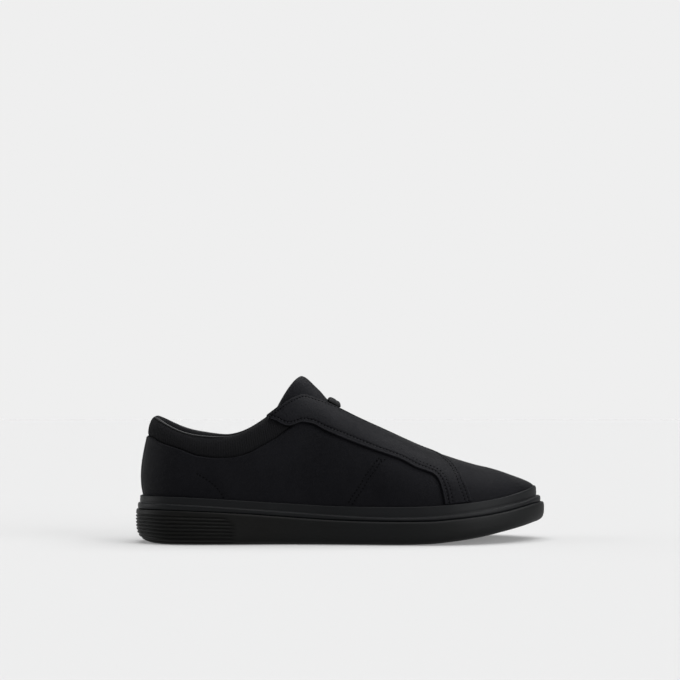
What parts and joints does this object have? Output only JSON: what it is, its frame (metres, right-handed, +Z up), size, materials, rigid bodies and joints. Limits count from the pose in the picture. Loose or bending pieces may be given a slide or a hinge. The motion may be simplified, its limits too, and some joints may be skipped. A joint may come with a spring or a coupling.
{
  "type": "slip-on sneaker",
  "caption": "Low black leather slip-on sneaker with a padded rib-knit collar, an elastic gore between two eyestay strips, a padded tongue and a two-tone cup sole.",
  "frame": {"origin": "Centre of the bounding box of the whole shoe in plan, at the height of the floor that it stands on.", "axes": "+X points from the heel to the toe, +Y to the medial (inner) side of the foot, -Y to the lateral side that the picture shows, and +Z up from the floor."},
  "size_m": [0.3, 0.1056, 0.1203],
  "materials": {
    "outsole_rubber": "matt moulded rubber with side ribs",
    "midsole_foam": "matt moulded foam with a slight sheen",
    "lining_fabric": "woven lining",
    "black_leather": "matt grained leather",
    "overlay_leather": "smooth matt leather",
    "ribbed_knit": "ribbed knit over foam",
    "gore_elastic": "woven elastic"
  },
  "bodies": {
    "root": {"outsole": "outsole_rubber", "midsole": "midsole_foam", "insole": "lining_fabric", "upper": "black_leather", "collar": "ribbed_knit", "eyestay_lateral": "overlay_leather", "eyestay_medial": "overlay_leather", "gore": "gore_elastic", "gore_hem": "gore_elastic", "tongue": "overlay_leather"}
  },
  "joints": []
}
